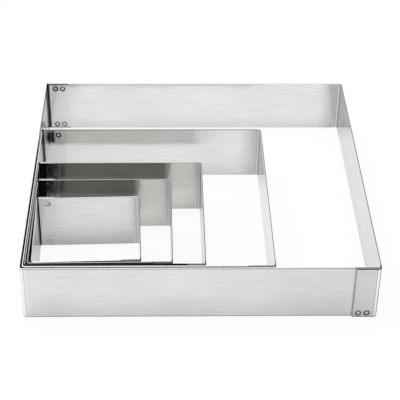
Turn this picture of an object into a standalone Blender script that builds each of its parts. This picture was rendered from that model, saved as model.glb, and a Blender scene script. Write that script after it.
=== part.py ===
# Nest of five square pastry rings in polished stainless sheet, open at the top and the bottom.
#
# Each ring is two equal strips, each bent to an L with a short flap. The flap of one strip laps the
# outside of the other at the back left and front right corners, and spot welds hold each lap. The
# smaller rings stand loose inside the larger ones, pushed into the front left corner.
#
# Metres, +Z up. The origin is the centre of the largest ring, on the surface that the rings stand on.

import math

import bmesh
import bpy
from mathutils import Matrix

MM = 0.001

# Inside width of the smallest ring, and how much wider each next ring is than the one inside it.
SIDE_SMALLEST = 60.0 * MM
STEP_SMALL = 20.0 * MM
STEP_MIDDLE = 20.0 * MM
STEP_LARGE = 40.0 * MM
STEP_LARGEST = 60.0 * MM
SIDE_SMALL = SIDE_SMALLEST + STEP_SMALL
SIDE_MIDDLE = SIDE_SMALL + STEP_MIDDLE
SIDE_LARGE = SIDE_MIDDLE + STEP_LARGE
SIDE_LARGEST = SIDE_LARGE + STEP_LARGEST

# The sheet, and the inside radius of its bends.
RING_HEIGHT = 35.0 * MM
SHEET = 0.7 * MM
BEND_RADIUS = 1.7 * MM
EDGE_ROUND = 0.1 * MM

# The laps. A flap's reach is measured from the ring's inside corner to the flap's free edge.
FLAP_WIDE = 13.8 * MM
FLAP_NARROW = 9.8 * MM
LAP_GAP = 0.25 * MM

# How far one ring's outside stays from the inside of the ring around it. The large ring stands a
# little further from the largest ring's left wall.
NEST_CLEARANCE = 0.25 * MM
LARGE_RING_LEFT_GAP = 0.5 * MM

# Spot welds: the round dent that the electrodes leave on both outer faces, and the nugget between
# the sheets, which sits in a pocket of each. A wide lap has two welds side by side in a row.
WIDE_LAP_WELD_COUNT = 2
NARROW_LAP_WELD_COUNT = 1
WELD_FROM_TOP = 3.9 * MM
WELD_FROM_BOTTOM = 2.9 * MM
WELD_PITCH = 4.8 * MM
DENT_RADIUS = 1.75 * MM
DENT_DEPTH = 0.12 * MM
DENT_FLAT_SHARE = 0.7
NUGGET_RADIUS = 1.5 * MM
NUGGET_CLEARANCE = 0.2 * MM
POCKET_SHARE = 0.45

# Turn of the three smallest rings as they lie in the nest, counter-clockwise from above. The large
# ring lies square to the largest.
TURN_ANGLE_MIDDLE = math.radians(0.1)
TURN_ANGLE_SMALL = math.radians(0.5)
TURN_ANGLE_SMALLEST = math.radians(1.8)

# Colours and roughness of the sheet and of the weld metal.
STEEL_COLOUR = (0.80, 0.80, 0.79)
STEEL_ROUGHNESS = 0.16
WELD_COLOUR = (0.52, 0.51, 0.50)
WELD_ROUGHNESS = 0.38

BEND_FACETS = 8
DENT_FACETS = 16
POCKET_FACETS = 12
SHARP_ANGLE = math.radians(40.0)
EDGE_ANGLE = math.radians(60.0)
QUARTER_TURN = math.radians(90.0)
HALF_TURN = math.radians(180.0)

# Name, inside width, flap reach, welds side by side in a row, and in the nest the gap on its left
# and its turn.
RINGS = (
    ("largest_ring", SIDE_LARGEST, FLAP_WIDE, WIDE_LAP_WELD_COUNT, 0.0, 0.0),
    ("large_ring", SIDE_LARGE, FLAP_WIDE, WIDE_LAP_WELD_COUNT, LARGE_RING_LEFT_GAP, 0.0),
    ("middle_ring", SIDE_MIDDLE, FLAP_NARROW, NARROW_LAP_WELD_COUNT, NEST_CLEARANCE, TURN_ANGLE_MIDDLE),
    ("small_ring", SIDE_SMALL, FLAP_NARROW, NARROW_LAP_WELD_COUNT, NEST_CLEARANCE, TURN_ANGLE_SMALL),
    ("smallest_ring", SIDE_SMALLEST, FLAP_NARROW, NARROW_LAP_WELD_COUNT, NEST_CLEARANCE, TURN_ANGLE_SMALLEST),
)


def clear_scene():
    for obj in list(bpy.data.objects):
        bpy.data.objects.remove(obj, do_unlink=True)


def new_collection(name):
    collection = bpy.data.collections.new(name)
    bpy.context.scene.collection.children.link(collection)
    return collection


def metal(name, colour, roughness):
    material = bpy.data.materials.new(name)
    material.use_nodes = True
    shader = material.node_tree.nodes["Principled BSDF"]
    shader.inputs["Base Color"].default_value = (*colour, 1.0)
    shader.inputs["Metallic"].default_value = 1.0
    shader.inputs["Roughness"].default_value = roughness
    material.diffuse_color = (*colour, 1.0)
    return material


def link_object(name, mesh, collection, parent):
    obj = bpy.data.objects.new(name, mesh)
    collection.objects.link(obj)
    obj.parent = parent
    return obj


def quarter_arc(centre_x, centre_y, start_angle):
    """Points of a bend's inner face, a quarter circle from start_angle, counter-clockwise."""
    points = []
    for step in range(BEND_FACETS + 1):
        angle = start_angle + QUARTER_TURN * step / BEND_FACETS
        points.append((centre_x + BEND_RADIUS * math.cos(angle), centre_y + BEND_RADIUS * math.sin(angle)))
    return points


def strip_line(side, flap_reach):
    """Inner face of the left and front strip, seen from above.

    It starts at the free edge of the back flap, turns down the left wall and along the front wall,
    and stops where the other strip's bend begins.
    """
    half = side / 2
    bend_x = BEND_RADIUS - half
    flap_y = half + SHEET + LAP_GAP
    line = [(flap_reach - half, flap_y)]
    line += quarter_arc(bend_x, flap_y - BEND_RADIUS, QUARTER_TURN)
    line += quarter_arc(bend_x, BEND_RADIUS - half, HALF_TURN)
    line.append((half - BEND_RADIUS, -half))
    return line


def strip_mesh(name, side, flap_reach):
    """The strip's inner face as an open sheet, with its faces turned to the outside of the ring."""
    mesh = bpy.data.meshes.new(name)
    sheet = bmesh.new()
    foot = [sheet.verts.new((x, y, 0.0)) for x, y in strip_line(side, flap_reach)]
    edges = [sheet.edges.new(pair) for pair in zip(foot, foot[1:])]
    grown = bmesh.ops.extrude_edge_only(sheet, edges=edges)["geom"]
    top = [item for item in grown if isinstance(item, bmesh.types.BMVert)]
    bmesh.ops.translate(sheet, verts=top, vec=(0.0, 0.0, RING_HEIGHT))
    sheet.normal_update()
    inward = [face for face in sheet.faces if face.normal.dot(face.calc_center_median()) < 0]
    bmesh.ops.reverse_faces(sheet, faces=inward)
    sheet.to_mesh(mesh)
    sheet.free()
    return mesh


def weld_places(side, flap_reach, row):
    """Where one lap's welds are along the wall, counted from the ring's centre, and how high."""
    middle = (BEND_RADIUS + flap_reach) / 2
    heights = (WELD_FROM_BOTTOM, RING_HEIGHT - WELD_FROM_TOP)
    places = []
    for height in heights:
        for index in range(row):
            offset = (index - (row - 1) / 2) * WELD_PITCH
            places.append((middle + offset - side / 2, height))
    return places


def facing_back(x, distance, height):
    """Frame on the back lap with its Z outward, at a distance out from the ring's centre."""
    return Matrix.Translation((x, distance, height)) @ Matrix.Rotation(-QUARTER_TURN, 4, "X")


def lap_turns():
    """The back lap as it stands, and the front lap, which is the same one turned half round."""
    return (("back", Matrix.Identity(4)), ("front", Matrix.Rotation(HALF_TURN, 4, "Z")))


def add_round(tool, place, low, high, low_radius, high_radius, facets):
    """Add a round, straight or tapered, between two distances outward from a wall's inside face."""
    middle = Matrix.Translation((0.0, 0.0, (low + high) / 2))
    bmesh.ops.create_cone(
        tool,
        cap_ends=True,
        segments=facets,
        radius1=low_radius,
        radius2=high_radius,
        depth=high - low,
        matrix=place @ middle,
    )


def weld_cutter(name, side, places, collection, parent):
    """One cutter for all of a ring's weld dents and nugget pockets."""
    outer_face = SHEET + LAP_GAP + SHEET
    pocket_depth = POCKET_SHARE * SHEET
    flat_radius = DENT_FLAT_SHARE * DENT_RADIUS
    mouth_radius = DENT_RADIUS + DENT_RADIUS - flat_radius
    pocket_radius = NUGGET_RADIUS + NUGGET_CLEARANCE
    tool = bmesh.new()
    for _, lap in lap_turns():
        for x, height in places:
            place = lap @ facing_back(x, side / 2, height)
            add_round(tool, place, -DENT_DEPTH, DENT_DEPTH, mouth_radius, flat_radius, DENT_FACETS)
            add_round(
                tool,
                place,
                SHEET - pocket_depth,
                SHEET + LAP_GAP + pocket_depth,
                pocket_radius,
                pocket_radius,
                POCKET_FACETS,
            )
            add_round(
                tool,
                place,
                outer_face - DENT_DEPTH,
                outer_face + DENT_DEPTH,
                flat_radius,
                mouth_radius,
                DENT_FACETS,
            )
    mesh = bpy.data.meshes.new(name)
    tool.to_mesh(mesh)
    tool.free()
    cutter = link_object(name, mesh, collection, parent)
    cutter.hide_render = True
    cutter.display_type = "WIRE"
    return cutter


def finish_strip(strip, cutter):
    """Give the sheet its thickness, break its cut edges, and press the weld dents into it."""
    thickness = strip.modifiers.new("sheet", "SOLIDIFY")
    thickness.thickness = SHEET
    thickness.offset = 1.0
    thickness.use_even_offset = True
    edges = strip.modifiers.new("broken_edges", "BEVEL")
    edges.width = EDGE_ROUND
    edges.segments = 1
    edges.limit_method = "ANGLE"
    edges.angle_limit = EDGE_ANGLE
    dents = strip.modifiers.new("weld_dents", "BOOLEAN")
    dents.operation = "DIFFERENCE"
    dents.solver = "EXACT"
    dents.object = cutter


def nugget_mesh(material):
    """Spot weld nugget, the disc of melted metal that joins the two sheets, lying in its pocket."""
    reach = POCKET_SHARE * SHEET - NUGGET_CLEARANCE
    disc = bmesh.new()
    add_round(
        disc,
        Matrix.Identity(4),
        SHEET - reach,
        SHEET + LAP_GAP + reach,
        NUGGET_RADIUS,
        NUGGET_RADIUS,
        POCKET_FACETS,
    )
    mesh = bpy.data.meshes.new("weld_nugget")
    disc.to_mesh(mesh)
    disc.free()
    mesh.materials.append(material)
    mesh.shade_smooth()
    mesh.set_sharp_from_angle(angle=SHARP_ANGLE)
    return mesh


def outside_corners(side, flap_reach):
    """Centre and radius of every outside corner of a ring, in the ring's own frame."""
    radius = BEND_RADIUS + SHEET
    wall = side / 2 + SHEET
    flap = wall + LAP_GAP + SHEET
    free_edge = side / 2 - flap_reach
    quarter = (
        (radius - wall, flap - radius, radius),
        (radius - wall, radius - wall, radius),
        (-free_edge, flap, 0.0),
    )
    turned = tuple((-x, -y, corner) for x, y, corner in quarter)
    return quarter + turned


def seat_in_corner(outer, inner):
    """Place of a ring in the frame of the ring around it, pushed into its front left corner."""
    _, outer_side, _, _, _, outer_turn = outer
    _, inner_side, inner_flap, _, left_gap, inner_turn = inner
    turn = inner_turn - outer_turn
    corners = outside_corners(inner_side, inner_flap)
    left = min(x * math.cos(turn) - y * math.sin(turn) - radius for x, y, radius in corners)
    front = min(x * math.sin(turn) + y * math.cos(turn) - radius for x, y, radius in corners)
    seat_x = left_gap - outer_side / 2 - left
    seat_y = NEST_CLEARANCE - outer_side / 2 - front
    return Matrix.Translation((seat_x, seat_y, 0.0)) @ Matrix.Rotation(turn, 4, "Z")


def build_ring(ring, seat, nugget, steel, rings, cutters):
    """One ring on an empty at its centre: two strips, their cutter and the weld nuggets."""
    name, side, flap_reach, row, _, _ = ring
    centre = link_object(name + "_centre", None, rings, None)
    centre.matrix_world = seat
    places = weld_places(side, flap_reach, row)
    cutter = weld_cutter(name + "_weld_cutter", side, places, cutters, centre)
    mesh = strip_mesh(name + "_strip", side, flap_reach)
    mesh.materials.append(steel)
    mesh.shade_smooth()
    mesh.set_sharp_from_angle(angle=SHARP_ANGLE)
    for part, turn in (("left_front_strip", 0.0), ("right_back_strip", HALF_TURN)):
        strip = link_object(name + "_" + part, mesh, rings, centre)
        strip.rotation_euler = (0.0, 0.0, turn)
        finish_strip(strip, cutter)
    for lap_name, lap in lap_turns():
        for number, (x, height) in enumerate(places, start=1):
            weld = link_object(f"{name}_{lap_name}_weld_{number}", nugget, rings, centre)
            weld.matrix_local = lap @ facing_back(x, side / 2, height)


def build():
    clear_scene()
    rings = new_collection("square_pastry_rings")
    cutters = new_collection("square_pastry_ring_cutters")
    steel = metal("polished_stainless", STEEL_COLOUR, STEEL_ROUGHNESS)
    weld_metal = metal("weld_metal", WELD_COLOUR, WELD_ROUGHNESS)
    nugget = nugget_mesh(weld_metal)
    seat = Matrix.Identity(4)
    outer = None
    for ring in RINGS:
        if outer is not None:
            seat = seat @ seat_in_corner(outer, ring)
        build_ring(ring, seat, nugget, steel, rings, cutters)
        outer = ring


build()
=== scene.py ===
"""Nest of five square pastry rings in polished stainless sheet, seen from above the front.

Metres, +Z up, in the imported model's frame. The origin is the centre of the largest ring, on the
surface that the rings stand on.
"""

import math
from types import SimpleNamespace

import bmesh
import bpy
import numpy as np
from mathutils import Matrix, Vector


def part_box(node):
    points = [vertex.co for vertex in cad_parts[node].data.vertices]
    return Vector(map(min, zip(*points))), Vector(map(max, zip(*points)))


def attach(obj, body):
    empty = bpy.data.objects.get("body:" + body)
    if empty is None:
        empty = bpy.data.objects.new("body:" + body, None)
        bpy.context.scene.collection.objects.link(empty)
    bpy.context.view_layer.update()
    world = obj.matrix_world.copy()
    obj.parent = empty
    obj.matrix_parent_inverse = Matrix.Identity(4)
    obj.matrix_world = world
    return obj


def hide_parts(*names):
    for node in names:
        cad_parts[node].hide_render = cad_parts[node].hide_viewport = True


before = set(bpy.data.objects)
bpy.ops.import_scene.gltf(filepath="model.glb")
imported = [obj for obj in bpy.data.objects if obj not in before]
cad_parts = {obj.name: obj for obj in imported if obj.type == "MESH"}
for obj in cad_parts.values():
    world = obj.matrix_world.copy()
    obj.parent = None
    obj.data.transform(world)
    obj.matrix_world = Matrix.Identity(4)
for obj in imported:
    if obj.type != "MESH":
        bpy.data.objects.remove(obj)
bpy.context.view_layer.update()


# Camera
# It stands in front of the nest, a little left of its middle, and looks down at it with a long lens.
# Its place, and its heading, dip and roll in radians, are those at which the rings' edges fall where
# the photograph has them. The lens and its sensor are in mm.

camera_place = (-0.01845, -0.65065, 0.47545)
heading, dip, roll = 0.03135, 0.62131, 0.01625
focal_length, sensor_width = 114.49, 36.0

ahead = np.array((math.sin(heading) * math.cos(dip), math.cos(heading) * math.cos(dip), -math.sin(dip)))
level = np.array((math.cos(heading), -math.sin(heading), 0.0))
square_up = np.cross(level, ahead)
across_view = math.cos(roll) * level + math.sin(roll) * square_up
up_view = math.cos(roll) * square_up - math.sin(roll) * level

lens = bpy.data.cameras.new("camera")
lens.sensor_width = sensor_width
lens.lens = focal_length
lens.clip_start, lens.clip_end = 0.01, 100.0
camera = bpy.data.objects.new("camera", lens)
turned = np.identity(4)
turned[:3, 0], turned[:3, 1], turned[:3, 2], turned[:3, 3] = across_view, up_view, -ahead, camera_place
camera.matrix_world = Matrix(turned.tolist())
bpy.context.collection.objects.link(camera)
bpy.context.scene.camera = camera
bpy.context.scene.view_settings.view_transform = "Standard"


# Floor and light
# A plain white studio table under a white room, with one soft lamp overhead. The camera sees the
# table almost pure white and still faintly shaded at the rings' feet, and polished steel sees it
# pale too.

table_reach, table_squares = 3.0, 24
table_grey, table_white = (0.94, 0.94, 0.935, 1.0), (0.96, 0.96, 0.96, 1.0)
plain_white = (1.0, 1.0, 1.0, 1.0)

# Where a Mix node keeps its sockets for colours: the share, the two colours and the blend.
mix_share, mix_first, mix_second, mix_colour = 0, 6, 7, 2


class Wire:
    """A shader socket that can be reckoned with: arithmetic on it adds the Math nodes for it."""

    def __init__(self, socket):
        self.socket = socket

    def math(self, operation, *others):
        """This operation on the socket and the others, in that order."""
        sources = {i: value for i, value in enumerate((self, *others))}
        return Wire.node(self.socket.id_data, "ShaderNodeMath", {"operation": operation}, sources)

    def __add__(self, other):
        return self.math("ADD", other)

    def __sub__(self, other):
        return self.math("SUBTRACT", other)

    def __rsub__(self, other):
        sources = {0: other, 1: self}
        return Wire.node(self.socket.id_data, "ShaderNodeMath", {"operation": "SUBTRACT"}, sources)

    def __mul__(self, other):
        return self.math("MULTIPLY", other)

    def __truediv__(self, other):
        return self.math("DIVIDE", other)

    __radd__ = __add__
    __rmul__ = __mul__

    def rise(self, low, high):
        """0 below low, 1 above high, and between them the S of 3 t squared less 2 t cubed."""
        smoothly = {"interpolation_type": "SMOOTHSTEP"}
        limits = {"Value": self, "From Min": low, "From Max": high}
        return Wire.node(self.socket.id_data, "ShaderNodeMapRange", smoothly, limits)

    @staticmethod
    def node(tree, kind, settings=None, inputs=None, output=0):
        """A new node of this kind: its settings first, then its sockets' values or links."""
        made = tree.nodes.new(kind)
        for name, value in (settings or {}).items():
            setattr(made, name, value)
        for name, value in (inputs or {}).items():
            if isinstance(value, Wire):
                tree.links.new(value.socket, made.inputs[name])
            else:
                made.inputs[name].default_value = value
        return Wire(made.outputs[output]) if made.outputs else made


def blended(tree, share, first, second):
    """Colour that is the first where share is 0 and the second where it is 1."""
    colours = {mix_share: share, mix_first: first, mix_second: second}
    return Wire.node(tree, "ShaderNodeMix", {"data_type": "RGBA"}, colours, output=mix_colour)


def bare_tree(name):
    """A material of this name, and its node tree with nothing in it yet."""
    material = bpy.data.materials.new(name)
    material.use_nodes = True
    material.node_tree.nodes.clear()
    return material, material.node_tree


def glow_share(tree, seen_share, mirrored_share):
    """How much plain white glow a ray meets: one share for a ray from the camera, another for one
    from polished steel, and none for the rest, so that the table keeps the rings' shadow."""
    seen = Wire.node(tree, "ShaderNodeLightPath", output="Is Camera Ray")
    mirrored = Wire.node(tree, "ShaderNodeLightPath", output="Is Glossy Ray")
    return seen * seen_share + mirrored * mirrored_share


table, tree = bare_tree("white_table")
place = Wire.node(tree, "ShaderNodeTexCoord", output="Object")
mottle = Wire.node(tree, "ShaderNodeTexNoise", {}, {"Vector": place, "Scale": 6.0, "Detail": 2.0})
off_white = blended(tree, mottle * 0.5, table_grey, table_white)
matt = Wire.node(tree, "ShaderNodeBsdfDiffuse", {}, {"Color": off_white})
glow = Wire.node(tree, "ShaderNodeEmission", {}, {"Color": plain_white, "Strength": 1.0})
share = glow_share(tree, seen_share=0.9, mirrored_share=0.45)
surface = Wire.node(tree, "ShaderNodeMixShader", {}, {0: share, 1: matt, 2: glow})
Wire.node(tree, "ShaderNodeOutputMaterial", {}, {"Surface": surface})

lines = table_squares + 1
along = np.linspace(-table_reach, table_reach, lines)
x, y = np.meshgrid(along, along, indexing="ij")
corner = np.arange(table_squares)[:, None] * lines + np.arange(table_squares)[None, :]
squares = np.stack((corner, corner + lines, corner + lines + 1, corner + 1), axis=-1).reshape(-1, 4)
floor_mesh = bpy.data.meshes.new("table_top")
floor_mesh.from_pydata(np.stack((x, y, 0.0 * x), axis=-1).reshape(-1, 3).tolist(), [], squares.tolist())
floor_mesh.materials.append(table)
floor = bpy.data.objects.new("table_top", floor_mesh)
bpy.context.collection.objects.link(floor)

room = bpy.data.worlds.new("white_room")
room.use_nodes = True
tree = room.node_tree
tree.nodes.clear()
wall = Wire.node(tree, "ShaderNodeBackground", {}, {"Color": plain_white, "Strength": 0.72})
backdrop = Wire.node(tree, "ShaderNodeBackground", {}, {"Color": plain_white, "Strength": 1.0})
share = glow_share(tree, seen_share=1.0, mirrored_share=0.5)
surface = Wire.node(tree, "ShaderNodeMixShader", {}, {0: share, 1: wall, 2: backdrop})
Wire.node(tree, "ShaderNodeOutputWorld", {}, {"Surface": surface})
bpy.context.scene.world = room

softbox = bpy.data.lights.new("softbox", "AREA")
softbox.shape = "RECTANGLE"
softbox.size, softbox.size_y = 1.4, 1.0
softbox.energy = 14.0
lamp = bpy.data.objects.new("softbox", softbox)
lamp.location = (-0.25, 0.25, 1.6)
lamp.rotation_euler = (math.radians(-8.0), math.radians(-9.0), 0.0)
bpy.context.collection.objects.link(lamp)


# Largest ring, left and front strip
# Cold-rolled stainless strip, sheared to width, polished on both faces and folded twice on a press
# brake: a short flap that laps the outside of the other strip at the back, then the left and the
# front wall.

MM = 0.001
height, sheet, lap_gap = 35.0 * MM, 0.7 * MM, 0.25 * MM

# The bends' inside radius, how far the lapped end reaches past the start of the bend beside it, the
# rounded corners of the sheared edge on either face, and the round at a strip's two cut ends.
bend_inside, past_bend, bend_steps = 1.3 * MM, 0.7 * MM, 14
outer_round, inner_round, end_round = 0.16 * MM, 0.06 * MM, 0.1 * MM

# Welds: how far from the edges and from each other in a row, and the stretch at the corner that
# they keep clear of. Each presses a round dent, flat in its middle, into the lap's two outsides, and
# its nugget fills a pocket in the two faces between them.
weld_from_top, weld_from_bottom = 3.9 * MM, 2.9 * MM
weld_pitch, weld_clear = 4.8 * MM, 1.7 * MM
dent_radius, dent_flat, dent_depth = 1.75 * MM, 1.2 * MM, 0.12 * MM
pocket_radius, pocket_flat, pocket_depth = 1.82 * MM, 1.62 * MM, 0.315 * MM

# The grid: steps along plain walls and along laps, the least step, the heights between which the
# lower welds lie, and the height from which the wall is plain.
wide_step, close_step, least_step = 2.5 * MM, 0.25 * MM, 0.05 * MM
welds_from, welds_to, plain_from = 2.15 * MM, 6.3 * MM, 7.0 * MM

# The most that a wall bows, its waves along the strip and up it, and the distances over which it
# comes free to bow: from a bend, from a lap and past the flap.
bow, long_wave, short_wave, upright_wave = 0.05 * MM, 11.0 * MM, 5.3 * MM, 9.0 * MM
bend_stiff, bend_free, lap_free, flap_free = 2.0 * MM, 16.0 * MM, 10.0 * MM, 4.0 * MM

# Points of the surface nearer to each other than this become one, and a fold steeper than this is
# shaded as an edge.
merged_within, edge_over = 0.002 * MM, math.radians(35.0)


def smooth(low, high, value):
    """0 below low, 1 above high, and between them the S of 3 t squared less 2 t cubed. With low
    above high it falls instead."""
    t = np.clip((value - low) / (high - low), 0.0, 1.0)
    return t * t * (3.0 - 2.0 * t)


def straight(start, end, outward, close_from=0.0, close_to=0.0):
    """Straight stretch of strip: places in a line from start to end, all with one outward direction.

    Stations are a wide step apart, and a close step from close_from to close_to, where welds are.
    """
    length = math.dist(start, end)
    wide = np.arange(0.0, length, wide_step)
    close = np.arange(close_from, close_to, close_step)
    t = np.unique(np.concatenate((wide[(wide <= close_from) | (wide > close_to)], close)))
    t = np.append(t[length - t > least_step], length)
    places = np.outer(1.0 - t / length, start) + np.outer(t / length, end)
    return places, np.tile(outward, (len(t), 1)).astype(float), t


def bend(centre, start_angle):
    """Quarter circle of strip: the centre plus the inside radius times the outward direction."""
    turn = np.linspace(0.0, math.pi / 2, bend_steps + 1)
    outward = np.stack((np.cos(start_angle + turn), np.sin(start_angle + turn)), axis=-1)
    return np.asarray(centre) + bend_inside * outward, outward, turn * (bend_inside + sheet / 2)


def strip_line(side, reach):
    """A strip seen from above: inner places, outward directions, distance along the middle of the
    sheet, and the distances at which its five stretches start and the last one ends. A stretch
    after the first leaves out the station that it shares with the one before."""
    half = side / 2
    flap_y = half + sheet + lap_gap
    corner_x = bend_inside - half
    end_x = half - bend_inside + past_bend
    stretches = (
        straight((reach - half, flap_y), (corner_x, flap_y), (0, 1), 0.0, reach - bend_inside),
        bend((corner_x, flap_y - bend_inside), math.pi / 2),
        straight((-half, flap_y - bend_inside), (-half, corner_x), (-1, 0)),
        bend((corner_x, corner_x), math.pi),
        straight((corner_x, -half), (end_x, -half), (0, -1), side - 2.0 * bend_inside - reach, side),
    )
    starts = np.cumsum([0.0] + [gone[-1] for _, _, gone in stretches])
    shared = (0, 1, 1, 1, 1)
    places = np.concatenate([one[0][n:] for n, one in zip(shared, stretches)])
    outwards = np.concatenate([one[1][n:] for n, one in zip(shared, stretches)])
    gone = np.concatenate([(one[2] + start)[n:] for n, start, one in zip(shared, starts, stretches)])
    return places, outwards, gone, starts


def section():
    """Sheet's cross-section, a closed loop up the outer face, over the top edge, down the inner face
    and under the foot, which is the top edge mirrored: how far out each point is, its height, and
    how far it is on to the cut edge. The shear rolls the outer corner over to a wide quarter circle
    and leaves the inner corner nearly sharp."""
    quarter = np.linspace(0.0, math.pi / 2, 5)
    foot = np.concatenate(
        (np.linspace(outer_round, welds_from - close_step, 7), np.arange(welds_from, welds_to, close_step))
    )
    middle = np.linspace(plain_from, height - plain_from, 13)
    face = np.concatenate((foot, middle, height - foot[::-1]))
    rolled = sheet - outer_round + outer_round * np.cos(quarter)[1:]
    flat = np.linspace(sheet - outer_round, inner_round, 4)[1:-1]
    over = np.concatenate((rolled, flat, inner_round - inner_round * np.sin(quarter)))
    rising = height - outer_round + outer_round * np.sin(quarter)[1:]
    falling = height - inner_round + inner_round * np.cos(quarter)
    top = np.concatenate((rising, height * np.ones(2), falling))
    sheared = np.concatenate((np.sin(quarter)[1:], np.ones(2), np.cos(quarter)))
    depth = np.concatenate((sheet + 0.0 * face, over, 0.0 * face[1:-1], over[::-1]))
    up = np.concatenate((face, top, face[::-1][1:-1], height - top[::-1]))
    onto = np.concatenate((0.0 * face, sheared, 0.0 * face[1:-1], sheared[::-1]))
    return depth, up, onto


def graded(gone, starts, reach, four):
    """A value along the strip, from four: the flap's, each wall's and the lapped end's. It runs
    smoothly from one to the next over the bends and over the 2 mm at the lap's start."""
    flap, first, second, lapped = four
    lap = starts[5] - reach
    value = flap + (first - flap) * smooth(starts[1], starts[2], gone)
    value = value + (second - first) * smooth(starts[3], starts[4], gone)
    return value + (lapped - second) * smooth(lap - 1.0 * MM, lap + 1.0 * MM, gone)


def pressed(away, flat, radius, depth):
    """Depth of a round mark, from the distance to its middle: full inside flat, 0 from radius on."""
    return depth * (1.0 - smooth(flat, radius, away))


def waviness(gone, up, starts, reach, seed):
    """How far the wall bows inward: two slow waves along the strip and one up it, dying away to
    nothing near the bends and on the laps, where the sheet is stiff."""
    near = np.min([np.abs(gone - place) for place in starts[1:5]], axis=0)
    free = smooth(bend_stiff, bend_free, near) * smooth(reach, reach + lap_free, starts[5] - gone)
    free = free * smooth(starts[1], starts[1] + flap_free, gone)
    a, b, c = np.random.default_rng(seed).uniform(0.0, 2.0 * math.pi, 3)
    wave = np.sin(gone / long_wave + a) + 0.7 * np.sin(gone / short_wave + b)
    return bow * free * (0.5 + 0.2 * (wave + 0.8 * np.sin(up / upright_wave + c)))


def strip_grid(side, reach, in_row, seed):
    """The sheet as one closed surface. A station's place, plus its outward direction times the
    section's depth, gives x and y, and the section gives z; welds press it in from both sides of
    the lap. At each cut end the section draws in along a quarter circle and then shuts."""
    place, outward, gone, starts = strip_line(side, reach)
    depth, up, onto = section()
    last, length = len(gone) - 1, starts[5]
    quarter = np.linspace(0.0, math.pi / 2, 4)
    lead, drawn = end_round * (1.0 - np.cos(quarter)), end_round * (1.0 - np.sin(quarter))
    plain = np.zeros(last - 1)
    station = np.concatenate((np.zeros(5, int), np.arange(1, last), np.full(5, last)))
    shift = np.concatenate(([0.0], lead, plain, -lead[::-1], [0.0]))[:, None]
    inset = np.concatenate(([end_round], drawn, plain, drawn[::-1], [end_round]))[:, None]
    shut = np.zeros((len(station), 1), bool)
    shut[[0, -1]] = True
    onward = np.stack((-outward[station, 1], outward[station, 0]), axis=-1)
    inner_place = place[station] + shift * onward

    out = sheet / 2 + (depth[None, :] - sheet / 2) * (1.0 - inset / (sheet / 2))
    out = np.where(shut, sheet / 2, out)
    kept_up = np.where(shut, np.clip(up, up[0], height - up[0])[None, :], up[None, :])
    z = height / 2 + (kept_up - height / 2) * (1.0 - inset / (height / 2))
    gone = np.broadcast_to(gone[station][:, None], z.shape)

    middle = (weld_clear + reach) / 2
    from_tip = middle + past_bend - bend_inside
    offsets = (np.arange(in_row) - (in_row - 1) / 2) * weld_pitch
    heights = (weld_from_bottom, height - weld_from_top)
    on_flap = [(reach - middle - offset, weld_up) for offset in offsets for weld_up in heights]
    on_end = [(length - from_tip - offset, weld_up) for offset in offsets for weld_up in heights]
    to_flap, to_end = (
        np.array([np.hypot(gone - weld_gone, z - weld_up) for weld_gone, weld_up in welds])
        for welds in (on_flap, on_end)
    )
    nearest = to_flap.min(axis=0), to_end.min(axis=0)
    flap_dent, end_dent = (pressed(away, dent_flat, dent_radius, dent_depth) for away in nearest)
    flap_pocket, end_pocket = (
        pressed(away, pocket_flat, pocket_radius, pocket_depth) for away in nearest
    )

    # 1 on the outer face and 0 on the inner one; then 1 on the cut ends, which no weld presses.
    outer = np.clip((out - 0.3 * sheet) / (0.4 * sheet), 0.0, 1.0)
    cut_end = np.where(shut | (inset > 0.0), 1.0, 0.0)
    pushed = (1.0 - outer) * (flap_pocket + end_dent) - outer * (flap_dent + end_pocket)
    out = out + (1.0 - cut_end) * pushed - waviness(gone, z, starts, reach, seed)

    x = inner_place[:, :1] + outward[station, :1] * out
    y = inner_place[:, 1:] + outward[station, 1:] * out
    rows, columns = z.shape
    row, column = np.arange(rows - 1)[:, None] * columns, np.arange(columns)[None, :]
    here, beside = row + column, row + (column + 1) % columns
    return SimpleNamespace(
        points=np.stack((x, y, z), axis=-1).reshape(-1, 3),
        faces=np.stack((here, here + columns, beside + columns, beside), axis=-1).reshape(-1, 4),
        x=x,
        z=z,
        gone=gone,
        starts=starts,
        outer=outer,
        to_flap=to_flap,
        to_end=to_end,
        cut=np.maximum(np.broadcast_to(onto[None, :], z.shape), inset / end_round),
        cut_end=cut_end,
    )


# Painted shade, in mm: how far from the lapped end the black and then the grey painted shade reach, the
# middle and half widths of the painted shade beside the upper weld, the stretch at the corner whose inner
# face is painted darker, and the stretch towards the lapped end over which the outside is painted darker.
# The last two are the farthest that the finish asks about from a cut edge or weld and from a bend. Grey
# share is how dark the grey painted shade is beside the black.
black_reach, grey_reach, grey_share = 4.0, 12.6, 0.42
weld_side_middle, weld_side_half = (4.8, 29.5), (5.8, 9.0)
corner_shade_reach, far_from, far_to = 16.0, 75.0, 20.0
marks_reach, bends_reach = 8.0, 5.0


def band(gone, climb, drop):
    """1 over a stretch of the strip and 0 outside it. Climb and drop each name a place on the strip
    and the distances past it, in mm, between which the value rises or falls in a smooth S."""
    (climb_place, none, full), (drop_place, still_full, gone_by) = climb, drop
    climbed = smooth(none, full, (gone - climb_place) / MM)
    return climbed * smooth(gone_by, still_full, (gone - drop_place) / MM)


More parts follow.
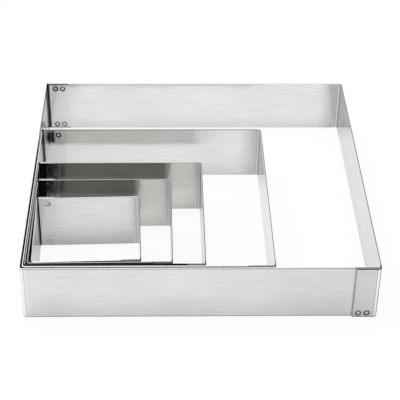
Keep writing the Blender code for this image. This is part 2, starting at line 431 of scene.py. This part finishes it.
def marks_and_painted_shade(grid, side, reach, marks_and_shade):
    """What the finish reads at each point of the sheet: how far it is from cut edges, bends and welds, in
    mm, and how bright the steel is painted there and where painted light and shade lie, mostly from 0 to 1."""
    gone, z, outer, inner = grid.gone, grid.z, grid.outer, 1.0 - grid.outer
    _, flap_from, flap_to, corner_from, corner_to, length = grid.starts
    labels = ("tone", "edge", "outer", "inner", "deep")
    along = {label: graded(gone, grid.starts, reach, marks_and_shade[label]) for label in labels}
    on_outer = outer > 0.5
    from_end = (length - gone) / MM

    in_bend = ((gone > flap_from) & (gone < flap_to)) | ((gone > corner_from) & (gone < corner_to))
    to_bend = np.min([np.abs(gone - place) for place in grid.starts[1:5]], axis=0) / MM
    from_cut = np.minimum(np.minimum(z, height - z), np.minimum(gone, length - gone)) / MM
    to_weld = np.where(on_outer, grid.to_flap.min(axis=0), grid.to_end.min(axis=0)) / MM
    near_flap = np.choose(grid.to_flap.argmin(axis=0), marks_and_shade["flap_marks"])
    near_end = np.choose(grid.to_end.argmin(axis=0), marks_and_shade["end_marks"])

    # Painted shade: black in the slot where the lapped end meets the wall.
    lap_slot_shade = smooth(0.8 * MM, 0.6 * MM, grid.x + side / 2) * (gone < flap_to + 0.2 * MM) * inner
    # Painted shade: black, then grey, on the inner face near the lapped end, and a patch beside its upper
    # weld.
    lap_end_fade = grey_share * smooth(grey_reach + 1.0, grey_reach - 1.0, from_end)
    lap_end_fade = np.maximum(lap_end_fade, smooth(black_reach + 1.5, black_reach - 1.0, from_end))
    weld_side_along = (from_end - weld_side_middle[0]) / weld_side_half[0]
    weld_side_up = (z / MM - weld_side_middle[1]) / weld_side_half[1]
    weld_side_shade = smooth(1.0, 0.1, np.hypot(weld_side_along, weld_side_up))
    lap_end_shade = np.maximum(marks_and_shade["lap_end_shade"] * lap_end_fade, marks_and_shade["weld_side_shade"] * weld_side_shade) * inner

    # Painted shade: the faces are darker by the inner corner, on the second wall's outside, towards the
    # inner foot, and on the outside towards the lapped end.
    from_corner = np.abs(gone - (corner_from + corner_to) / 2) / MM
    bright = 1.0 - marks_and_shade["corner_shade"] * smooth(corner_shade_reach, 0.0, from_corner) * inner
    bright = bright * (1.0 - (1.0 - marks_and_shade["outside"]) * outer * smooth(corner_from, corner_to, gone))
    bright = bright * (1.0 - marks_and_shade["foot"] * (1.0 - z / height) ** 2 * inner)
    bright = bright * (1.0 - marks_and_shade["far"] * smooth(far_from, far_to, from_end) * outer)

    # Painted light and shade on the sheared edge: brighter or darker wall by wall, and dark on the cut end
    # inside the lap.
    lapped_cut = grid.cut_end * (gone > length / 2)
    # Painted shade on the edge's rounded corners where the line beside them is dark, and a painted shade
    # line under the edge, a painted highlight where below 0.
    edge_corner_shade = np.where(outer > 0.35, along["outer"], np.where(outer < 0.2, along["inner"], 0.0))
    edge = along["edge"] * (1.0 - 0.9 * lapped_cut) * (1.0 - 0.97 * np.clip(edge_corner_shade, 0.0, 1.0))
    line = np.where(on_outer, along["outer"], along["inner"]) * smooth(0.0, 3.0 * MM, gone + 1.2 * MM)

    # Painted shade: the bends' inner faces are greyed and given a rougher finish.
    flap_inside_shade = band(gone, (flap_from, 1.0, 1.8), (flap_to, 1.0, 3.5))
    corner_inside_shade = band(gone, (corner_from, -3.5, -1.0), (corner_to, 1.0, 3.5))
    # Painted highlights and shade on the bends: a dark line above 0, a bright band below 0.
    outside_line = band(gone, (flap_to, -1.7, -1.4), (flap_to, 0.0, 0.4))
    outside_line = outside_line - band(gone, (flap_from, -0.3, 0.2), (flap_from, 0.8, 1.2))
    outside_line = outside_line - 0.8 * band(gone, (corner_from, 0.4, 1.0), (corner_to, 0.0, 0.6))
    inside_line = 0.45 * band(gone, (corner_from, -0.9, -0.5), (corner_from, 0.6, 1.0))
    inside_line = inside_line - 0.8 * band(gone, (corner_to, -1.2, -0.9), (corner_to, 0.1, 0.5))
    return {
        "cut": grid.cut,
        "from_cut": np.clip(from_cut, 0.0, marks_reach),
        "lap_slot_shade": lap_slot_shade,
        "to_weld": np.minimum(to_weld, marks_reach),
        "to_bend": np.clip(np.where(in_bend, -to_bend, to_bend), -bends_reach, bends_reach),
        "tone": along["tone"] * bright,
        "edge": edge,
        "line": line,
        "deep": along["deep"],
        "mark": np.where(on_outer, near_flap, near_end),
        "lap_end_shade": lap_end_shade,
        "bend_inside_shade": np.maximum(flap_inside_shade, corner_inside_shade) * inner,
        "bend_light_shade": outside_line * outer + inside_line * inner,
    }


def polished(name, seed, warm):
    """Polished stainless: a cool grey mirror with faint rolling lines along the strip, slow waves and wiped
    smears, the warmer the more it has been used. The mesh says how bright the sheet and its sheared edge
    are painted, how dark the painted shade line under that edge is, and where the bends' painted highlights
    and shade, a weld's heat ring, the lap's painted shade and a corner's painted shade lie."""
    material, tree = bare_tree(name)
    run_place = Wire.node(tree, "ShaderNodeUVMap", {"uv_map": "run"})

    def read(label):
        """What the mesh says under this label."""
        return Wire.node(tree, "ShaderNodeAttribute", {"attribute_name": label}, output="Fac")

    def drawn_out(up_scale):
        """Places on the strip with their heights scaled: above 1, a noise of them runs along it."""
        scales = {"Vector": run_place, "Scale": (1.0, up_scale, 1.0)}
        return Wire.node(tree, "ShaderNodeMapping", {}, scales)

    def noise(vector, scale, detail=2.0, roughness=0.5):
        """Soft noise, different for each seed."""
        sockets = {"Vector": vector, "Scale": scale, "Detail": detail, "Roughness": roughness, "W": seed}
        return Wire.node(tree, "ShaderNodeTexNoise", {"noise_dimensions": "4D"}, sockets)

    lines = noise(drawn_out(60.0), 60.0, 3.0, 0.6)
    bands = noise(drawn_out(18.0), 45.0, 3.0, 0.6)
    streaks = noise(drawn_out(0.3), 620.0).rise(0.35, 0.65)
    clouds = noise(run_place, 28.0)
    smears = noise(run_place, 90.0, 4.0, 0.6)
    ragged = noise(run_place, 350.0, 3.0) - 0.5
    waves = noise(Wire.node(tree, "ShaderNodeTexCoord", output="Object"), 22.0, 1.0)

    black = (0.0, 0.0, 0.0, 1.0)
    duller = (0.955 + 0.008 * warm, 0.95, 0.94 - 0.022 * warm, 1.0)
    clearer = (1.02 + 0.008 * warm, 1.02, 1.018 - 0.025 * warm, 1.0)
    bend_inside_grey, fold_grey = (0.62, 0.615, 0.60, 1.0), (0.40, 0.40, 0.39, 1.0)
    bend_shade_dark, bend_highlight = (0.10, 0.10, 0.10, 1.0), (0.97, 0.97, 0.965, 1.0)
    heat_straw, heat_black = (0.42, 0.40, 0.37, 1.0), (0.02, 0.019, 0.017, 1.0)
    shade_black, edge_shade_black = (0.02, 0.02, 0.018, 1.0), (0.03, 0.027, 0.024, 1.0)
    highlight_white, cut_edge_light = (0.95, 0.95, 0.945, 1.0), (1.0, 1.0, 0.995, 1.0)
    slot_shade_black = (0.012, 0.011, 0.010, 1.0)

    steel = blended(tree, clouds.rise(0.3, 0.7), duller, clearer)
    colour = blended(tree, read("tone") * (1.0 + (bands - 0.5) * 0.3), black, steel)
    bend_inside_shade, bend_light_shade = read("bend_inside_shade"), read("bend_light_shade")
    # Painted shade greys the bends' inner faces.
    colour = blended(tree, bend_inside_shade * 0.6, colour, bend_inside_grey)
    # Painted shade and painted highlights on the bends.
    colour = blended(tree, bend_light_shade.rise(0.0, 1.0) * 0.75, colour, bend_shade_dark)
    colour = blended(tree, (bend_light_shade * -1.0).rise(0.0, 1.0) * 0.7, colour, bend_highlight)

    to_weld, mark = read("to_weld"), read("mark")
    colour = blended(tree, (1.0 - to_weld.rise(1.6, 3.4)) * mark * 0.3, colour, heat_straw)
    ring = to_weld.rise(0.8, 1.2) * (1.0 - to_weld.rise(1.6, 2.1)) * mark
    broken = (ring * (ragged * 1.6 + 1.1)).rise(0.0, 1.0)
    colour = blended(tree, broken, colour, heat_black)
    fold_line = 1.0 - (read("to_bend") - 0.4).math("ABSOLUTE").rise(0.15, 0.55)
    colour = blended(tree, fold_line * 0.5, colour, fold_grey)
    # Painted shade, black at the lapped end and beside its upper weld, broken up by noise.
    blotch = (read("lap_end_shade") * (smears * 0.4 + ragged * 1.4 + streaks * 0.7 + 0.48)).rise(0.12, 0.85)
    colour = blended(tree, blotch, colour, shade_black)

    # Painted shade: a dark line just under the cut edge where its strength is above 0, and a painted
    # highlight with a rougher finish where it is below 0.
    under_edge = 1.0 - ((read("from_cut") + ragged * 0.5) / read("deep")).rise(0.7, 1.15)
    line, edge, lap_slot_shade = read("line"), read("cut").rise(0.3, 0.7), read("lap_slot_shade")
    rough_highlight = under_edge * (line * -1.0).rise(0.0, 1.0)
    colour = blended(tree, under_edge * line.rise(0.0, 1.0), colour, edge_shade_black)
    colour = blended(tree, rough_highlight, colour, highlight_white)
    # The sheared edge takes its painted light and shade.
    colour = blended(tree, edge, colour, blended(tree, read("edge"), black, cut_edge_light))
    # Painted shade, black in the slot at the lap.
    colour = blended(tree, lap_slot_shade, colour, slot_shade_black)

    rough = 0.085 + (lines - 0.5) * 0.05 + smears.rise(0.45, 0.75) * 0.035
    rough = rough + edge * 0.33 + (rough_highlight + bend_inside_shade) * 0.45 + broken * 0.25 + (lap_slot_shade + blotch * 0.5) * 0.4
    rolled = {"Height": lines, "Strength": 0.05, "Distance": 0.0001}
    rolled_bump = Wire.node(tree, "ShaderNodeBump", {}, rolled)
    swell = {"Height": waves, "Strength": 0.35, "Distance": 0.0006, "Normal": rolled_bump}
    swell_bump = Wire.node(tree, "ShaderNodeBump", {}, swell)
    metal = {"Base Color": colour, "Metallic": 1.0, "Roughness": rough, "Normal": swell_bump}
    shader = Wire.node(tree, "ShaderNodeBsdfPrincipled", {}, metal)
    Wire.node(tree, "ShaderNodeOutputMaterial", {}, {"Surface": shader})
    return material


def ring_centre(ring):
    """Middle of the box round a packed ring, whose two strips are each other turned half round."""
    boxes = np.array([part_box(f"{ring}_ring_{part}_strip") for part in ("left_front", "right_back")])
    return (boxes[:, 0].min(axis=0) + boxes[:, 1].max(axis=0))[:2] / 2


def make_strip(ring, part, seed, marks_and_shade):
    """One strip in its place in the nest: turned about its ring's centre, the right and back one by
    half a turn more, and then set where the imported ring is."""
    name = f"{ring['name']}_{part}"
    grid = strip_grid(ring["side"], ring["reach"], ring["in_row"], seed)
    turn = ring["turn"] + (math.pi if part == "right_back" else 0.0)
    c, s = math.cos(turn), math.sin(turn)
    turned = grid.points @ np.array(((c, s, 0.0), (-s, c, 0.0), (0.0, 0.0, 1.0)))
    points = turned + np.array((*ring_centre(ring["name"]), 0.0))
    mesh = bpy.data.meshes.new(name)
    mesh.from_pydata(points.tolist(), [], grid.faces.tolist())
    for label, values in marks_and_painted_shade(grid, ring["side"], ring["reach"], marks_and_shade).items():
        values = values.astype(np.float32).ravel()
        mesh.attributes.new(label, "FLOAT", "POINT").data.foreach_set("value", values)
    corners = np.empty(len(mesh.loops), np.int32)
    mesh.loops.foreach_get("vertex_index", corners)
    along_up = np.stack((grid.gone.ravel()[corners], grid.z.ravel()[corners]), axis=-1)
    mesh.uv_layers.new(name="run").uv.foreach_set("vector", along_up.astype(np.float32).ravel())
    whole = bmesh.new()
    whole.from_mesh(mesh)
    bmesh.ops.remove_doubles(whole, verts=whole.verts, dist=merged_within)
    whole.to_mesh(mesh)
    whole.free()
    mesh.shade_smooth()
    mesh.set_sharp_from_angle(angle=edge_over)
    mesh.materials.append(polished(f"{name}_steel", float(seed), ring["warm"]))
    strip = bpy.data.objects.new(name, mesh)
    bpy.context.collection.objects.link(strip)
    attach(strip, f"{ring['name']}_ring")
    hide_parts(f"{ring['name']}_ring_{part}_strip")


# A strip's painted light and shade, and its heat marks. Tone, edge, outer, inner and deep have four values:
# the flap's, the wall's after it, the next wall's and the lapped end's. They say how bright the faces are
# painted, how bright the sheared edge is painted, how dark the painted shade line beside that edge is on
# the outer and the inner face (a painted highlight with a rougher finish if below 0), and how many mm deep
# it is. Marks are the heat rings, weld by weld. Lap end shade and weld side shade paint black shade on the
# inner face at the lapped end and beside its upper weld. Corner shade and foot paint shade on the inner
# face at the corner and along the foot, and far on the outer face towards the lapped end. Outside is what
# is left of the painted brightness of the second wall's outer face.
# The defaults: no painted shade, and the heat rings' strengths.
unshaded = {
    "flap_marks": (0.4, 0.4, 0.4, 0.4),
    "end_marks": (0.5, 0.5, 0.5, 0.5),
    "lap_end_shade": 0.0,
    "weld_side_shade": 0.0,
    "corner_shade": 0.0,
    "outside": 1.0,
    "foot": 0.0,
    "far": 0.0,
}
largest = {"name": "largest", "side": 200.0 * MM, "reach": 13.8 * MM, "in_row": 2, "turn": 0.0, "warm": 0.0}
marks_and_shade = {
    **unshaded,
    "tone": (0.68, 0.68, 0.72, 0.64),
    "edge": (0.95, 0.97, 0.90, 0.55),
    "outer": (0.15, 0.1, 0.42, 0.5),
    "inner": (-1.0, 1.0, -0.8, 0.2),
    "deep": (0.7, 3.2, 0.9, 0.9),
    "far": 0.09,
}
make_strip(largest, "left_front", 1, marks_and_shade)


# Largest ring, right and back strip
# The same strip turned half round, of the same polished sheet. Its flap laps the front wall at the
# right corner, its back wall ends inside the other strip's flap, and spot welds hold both laps.

marks_and_shade = {
    **unshaded,
    "tone": (0.60, 0.635, 0.79, 0.77),
    "edge": (0.60, 0.55, 0.80, 0.95),
    "outer": (0.85, 0.8, 0.2, -1.0),
    "inner": (0.2, 0.1, 0.12, 0.75),
    "deep": (0.75, 0.7, 0.7, 0.8),
    "flap_marks": (0.8, 0.12, 0.7, 0.12),
    "end_marks": (0.7, 1.0, 0.6, 0.8),
    "corner_shade": 0.35,
}
make_strip(largest, "right_back", 2, marks_and_shade)


# Large ring, both strips
# Made as the largest ring is, from shorter strip of the same width and the same polished sheet, and
# loose inside it.

large = {"name": "large", "side": 140.0 * MM, "reach": 13.8 * MM, "in_row": 2, "turn": 0.0, "warm": 0.0}
marks_and_shade = {
    **unshaded,
    "tone": (0.70, 0.70, 0.70, 0.70),
    "edge": (0.9, 0.97, 0.90, 0.30),
    "outer": (0.3, 1.0, -1.0, 0.3),
    "inner": (0.3, -0.6, 0.2, 0.2),
    "deep": (0.8, 0.8, 0.8, 0.8),
}
make_strip(large, "left_front", 3, marks_and_shade)

marks_and_shade = {
    **unshaded,
    "tone": (0.70, 0.70, 0.77, 0.73),
    "edge": (0.35, 0.75, 0.17, 0.97),
    "outer": (0.6, 0.9, 0.2, 0.2),
    "inner": (0.2, 0.0, 0.25, 0.45),
    "deep": (0.8, 0.6, 0.6, 0.8),
    "end_marks": (0.9, 0.9, 0.5, 1.0),
    "weld_side_shade": 0.9,
    "corner_shade": 0.28,
}
make_strip(large, "right_back", 4, marks_and_shade)


# Middle ring, both strips
# The same stainless strip with narrower flaps, and one column of spot welds in place of two. Its steel is
# warmer, its faces and edges are painted darker as shade, and its back left corner is painted black as
# shade.

middle = {
    "name": "middle",
    "side": 100.0 * MM,
    "reach": 9.8 * MM,
    "in_row": 1,
    "turn": math.radians(0.1),
    "warm": 1.0,
}
shaded_left_front = {
    **unshaded,
    "tone": (0.60, 0.60, 0.60, 0.60),
    "edge": (0.9, 0.42, 0.08, 0.55),
    "outer": (0.3, 0.3, 0.9, 0.9),
    "inner": (0.3, -0.7, 0.2, 0.2),
    "deep": (1.0, 2.0, 1.2, 1.2),
}
shaded_right_back = {
    **unshaded,
    "tone": (0.64, 0.66, 0.68, 0.55),
    "edge": (0.45, 0.75, 0.55, 0.97),
    "outer": (0.9, 0.95, 0.2, 0.2),
    "inner": (0.2, 0.0, 0.2, 0.4),
    "deep": (1.2, 0.6, 0.6, 0.8),
    "lap_end_shade": 1.0,
    "corner_shade": 0.1,
    "outside": 0.94,
}
make_strip(middle, "left_front", 5, shaded_left_front)
make_strip(middle, "right_back", 6, shaded_right_back)


# Small ring, both strips
# As the middle ring, 20 mm narrower, with the same painted shade. Its front edge is painted brighter and
# the outside of its back wall darker, as painted light and shade.

small = {**middle, "name": "small", "side": 80.0 * MM, "turn": math.radians(0.5)}
marks_and_shade = {**shaded_left_front, "edge": (0.9, 0.42, 0.6, 0.55), "outer": (0.3, 0.3, 0.4, 0.9)}
make_strip(small, "left_front", 7, marks_and_shade)
make_strip(small, "right_back", 8, {**shaded_right_back, "outside": 0.48})


# Smallest ring, both strips
# The innermost ring, bent and welded as the two around it are, but painted brighter. Only its left wall and
# the outside of its back wall are painted darker, as shade.

smallest = {**middle, "name": "smallest", "side": 60.0 * MM, "turn": math.radians(1.8), "warm": 0.7}
marks_and_shade = {
    **unshaded,
    "tone": (0.72, 0.44, 0.72, 0.72),
    "edge": (0.9, 0.70, 0.95, 0.60),
    "outer": (0.3, 0.3, 0.1, 0.9),
    "inner": (0.3, 0.1, 0.2, 0.2),
    "deep": (1.0, 1.0, 1.2, 1.2),
    "end_marks": (0.3, 0.3),
}
make_strip(smallest, "left_front", 9, marks_and_shade)

marks_and_shade = {
    **unshaded,
    "tone": (0.72, 0.72, 0.76, 0.74),
    "edge": (0.45, 0.75, 0.72, 0.90),
    "outer": (0.9, 0.95, 0.2, 0.2),
    "inner": (0.2, 0.0, 0.0, 0.0),
    "deep": (1.2, 0.6, 0.6, 0.8),
    "end_marks": (0.3, 0.35),
    "outside": 0.38,
    "foot": 0.3,
}
make_strip(smallest, "right_back", 10, marks_and_shade)


# Spot welds
# Discs of steel melted together between the two sheets of each lap, duller and darker than the
# sheet, with a grey skin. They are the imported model's own nodes.

skin, tree = bare_tree("weld_nugget_metal")
dark_skin, pale_skin = (0.36, 0.35, 0.34, 1.0), (0.52, 0.51, 0.50, 1.0)
place = Wire.node(tree, "ShaderNodeTexCoord", output="Object")
grain = Wire.node(tree, "ShaderNodeTexNoise", {}, {"Vector": place, "Scale": 2600.0, "Detail": 3.0})
shade = blended(tree, grain.rise(0.35, 0.65), dark_skin, pale_skin)
rough = 0.3 + grain * 0.2
bump = Wire.node(tree, "ShaderNodeBump", {}, {"Height": grain, "Strength": 0.3, "Distance": 0.00005})
metal = {"Base Color": shade, "Metallic": 1.0, "Roughness": rough, "Normal": bump}
shader = Wire.node(tree, "ShaderNodeBsdfPrincipled", {}, metal)
Wire.node(tree, "ShaderNodeOutputMaterial", {}, {"Surface": shader})
for name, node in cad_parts.items():
    if "_weld_" in name:
        for filled in node.material_slots:
            filled.material = skin
